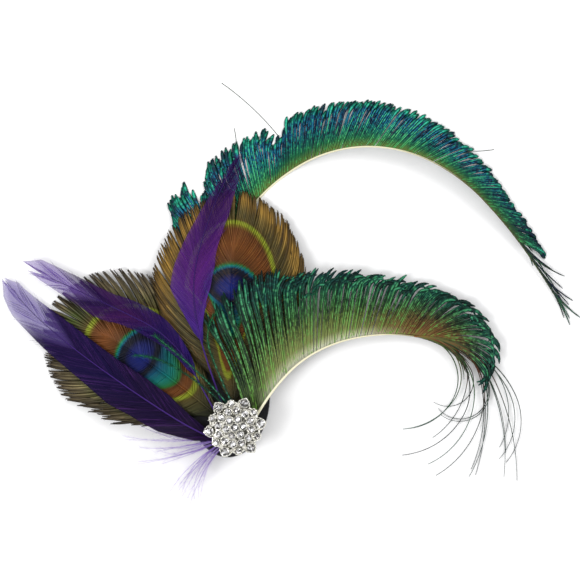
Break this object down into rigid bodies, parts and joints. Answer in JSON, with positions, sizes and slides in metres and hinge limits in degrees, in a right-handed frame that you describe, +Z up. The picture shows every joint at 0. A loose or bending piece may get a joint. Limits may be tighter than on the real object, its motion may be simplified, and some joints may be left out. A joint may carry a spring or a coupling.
{
  "type": "peacock feather fascinator on a hair clip",
  "caption": "Peacock sword plumes, eye feathers and dyed purple feathers fanning from a black felt pad under a star-shaped clear-stone brooch, with a steel hair clip behind.",
  "frame": {"origin": "middle of the clip's flat lower jaw, on the surface that the ornament lies on", "axes": "+Z up out of the brooch's face, +X towards the sweep of the sword plumes, +Y from the brooch towards the upright feathers"},
  "size_m": [0.2321, 0.1641, 0.0169],
  "materials": {
    "steel": "plain bright spring steel",
    "felt": "matte black felt",
    "sword_herl": "iridescent green and blue peacock barbs on an ivory quill",
    "eye_herl": "iridescent bronze, green, turquoise and navy peacock barbs",
    "purple_barbs": "dyed indigo and violet feather barbs with a soft sheen",
    "lilac_down": "thin translucent dyed down",
    "silver": "polished pale silver-coloured casting",
    "crystal": "clear faceted stones with foil backs"
  },
  "bodies": {
    "root": {"hair_clip": "steel", "felt_pad": "felt", "upper_sword_plume": "sword_herl", "lower_sword_plume": "sword_herl", "upright_eye_feather": "eye_herl", "left_eye_feather": "eye_herl", "upright_purple_feather": "purple_barbs", "high_purple_feather": "purple_barbs", "low_purple_feather": "purple_barbs", "purple_down_tuft": "lilac_down", "loose_green_herls": "sword_herl", "brooch_setting": "silver", "stone_centre": "crystal", "stone_inner_1": "crystal", "stone_inner_2": "crystal", "stone_inner_3": "crystal", "stone_inner_4": "crystal", "stone_inner_5": "crystal", "stone_inner_6": "crystal", "stone_middle_1": "crystal", "stone_middle_2": "crystal", "stone_middle_3": "crystal", "stone_middle_4": "crystal", "stone_middle_5": "crystal", "stone_middle_6": "crystal", "stone_middle_7": "crystal", "stone_middle_8": "crystal", "stone_middle_9": "crystal", "stone_middle_10": "crystal", "stone_middle_11": "crystal", "stone_middle_12": "crystal", "stone_short_point_1": "crystal", "stone_short_point_2": "crystal", "stone_short_point_3": "crystal", "stone_short_point_4": "crystal", "stone_short_point_5": "crystal", "stone_short_point_6": "crystal", "stone_long_point_1": "crystal", "stone_long_point_2": "crystal", "stone_long_point_3": "crystal", "stone_long_point_4": "crystal", "stone_long_point_5": "crystal", "stone_long_point_6": "crystal"}
  },
  "joints": []
}
